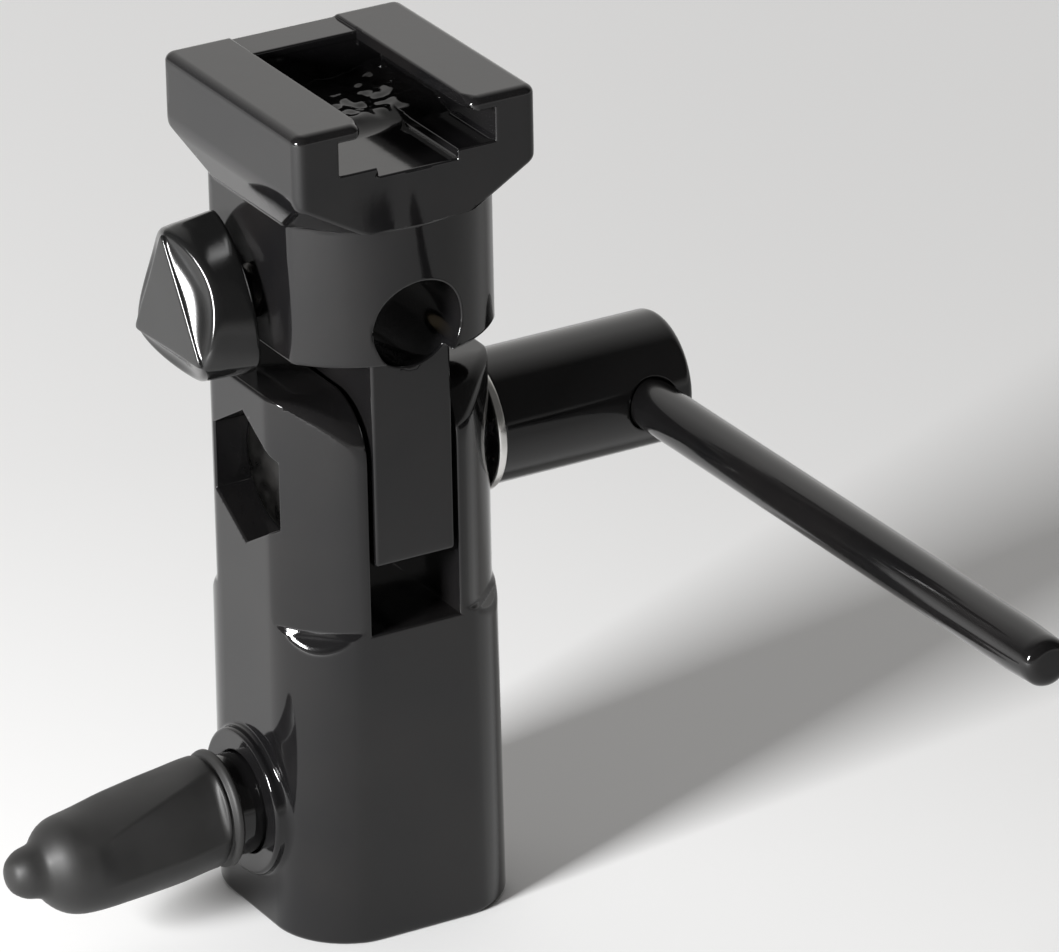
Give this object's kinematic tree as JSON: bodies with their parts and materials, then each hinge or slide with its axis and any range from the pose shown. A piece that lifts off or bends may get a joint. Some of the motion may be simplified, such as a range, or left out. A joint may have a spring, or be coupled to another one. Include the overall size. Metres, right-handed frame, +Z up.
{
  "type": "umbrella swivel bracket",
  "caption": "Tilting bracket with an accessory shoe and umbrella bore on a lever-clamped swivel head, over a forked body with a light-stand socket.",
  "frame": {"origin": "centre of the light-stand socket's mouth, on the underside of the lower body", "axes": "+Z up the stand socket's axis, X along the hinge bolt with the clamp lever on +X, -Y the side the accessory shoe opens to"},
  "size_m": [0.0821, 0.1012, 0.0967],
  "materials": {
    "cast_black": "gloss",
    "bolt_black": "satin",
    "washer_steel": "satin",
    "lever_black": "gloss",
    "disc_fibre": "matte",
    "knob_gloss": "gloss",
    "knob_soft": "satin",
    "screw_steel": "satin",
    "pad_brass": "satin"
  },
  "bodies": {
    "stand_body": {"lower_body": "cast_black", "hinge_bolt": "bolt_black", "hinge_washer": "washer_steel", "friction_discs": "disc_fibre"},
    "head": {"swivel_head": "cast_black"},
    "clamp_lever": {"lever_hub": "lever_black", "lever_rod": "lever_black"},
    "umbrella_tip": {"umbrella_pad": "pad_brass"},
    "umbrella_thumb_screw": {"umbrella_screw": "screw_steel", "umbrella_knob": "knob_gloss"},
    "stand_tip": {"stand_pad": "pad_brass"},
    "stand_thumb_screw": {"stand_screw": "screw_steel", "stand_collar": "knob_gloss", "stand_knob": "knob_soft"}
  },
  "joints": [
    {"name": "head_tilt", "type": "hinge", "parent": "stand_body", "child": "head", "pos_m": [0, -0.0008, 0.0523], "axis": [1, 0, 0], "range_deg": [-90, 90]},
    {"name": "lever_turn", "type": "hinge", "parent": "stand_body", "child": "clamp_lever", "pos_m": [0.0331, -0.0008, 0.0523], "axis": [1, 0, 0], "range_deg": [-180, 180]},
    {"name": "umbrella_screw_advance", "type": "slide", "parent": "head", "child": "umbrella_tip", "axis": [1, 0, 0], "range_m": [-0.003, 0]},
    {"name": "umbrella_screw_turn", "type": "hinge", "parent": "umbrella_tip", "child": "umbrella_thumb_screw", "pos_m": [-0.014, 0.002, 0.07225], "axis": [1, 0, 0], "range_deg": [-1080, 0]},
    {"name": "stand_screw_advance", "type": "slide", "parent": "stand_body", "child": "stand_tip", "axis": [1, 0, 0], "range_m": [-0.0025, 0.002]},
    {"name": "stand_screw_turn", "type": "hinge", "parent": "stand_tip", "child": "stand_thumb_screw", "pos_m": [-0.0176, 0, 0.0135], "axis": [1, 0, 0], "range_deg": [-720, 576]}
  ],
  "couplings": [
    {"joint": "umbrella_screw_advance", "follows": "umbrella_screw_turn", "m_per_rad": 0.00015915},
    {"joint": "stand_screw_advance", "follows": "stand_screw_turn", "m_per_rad": 0.00019894}
  ]
}
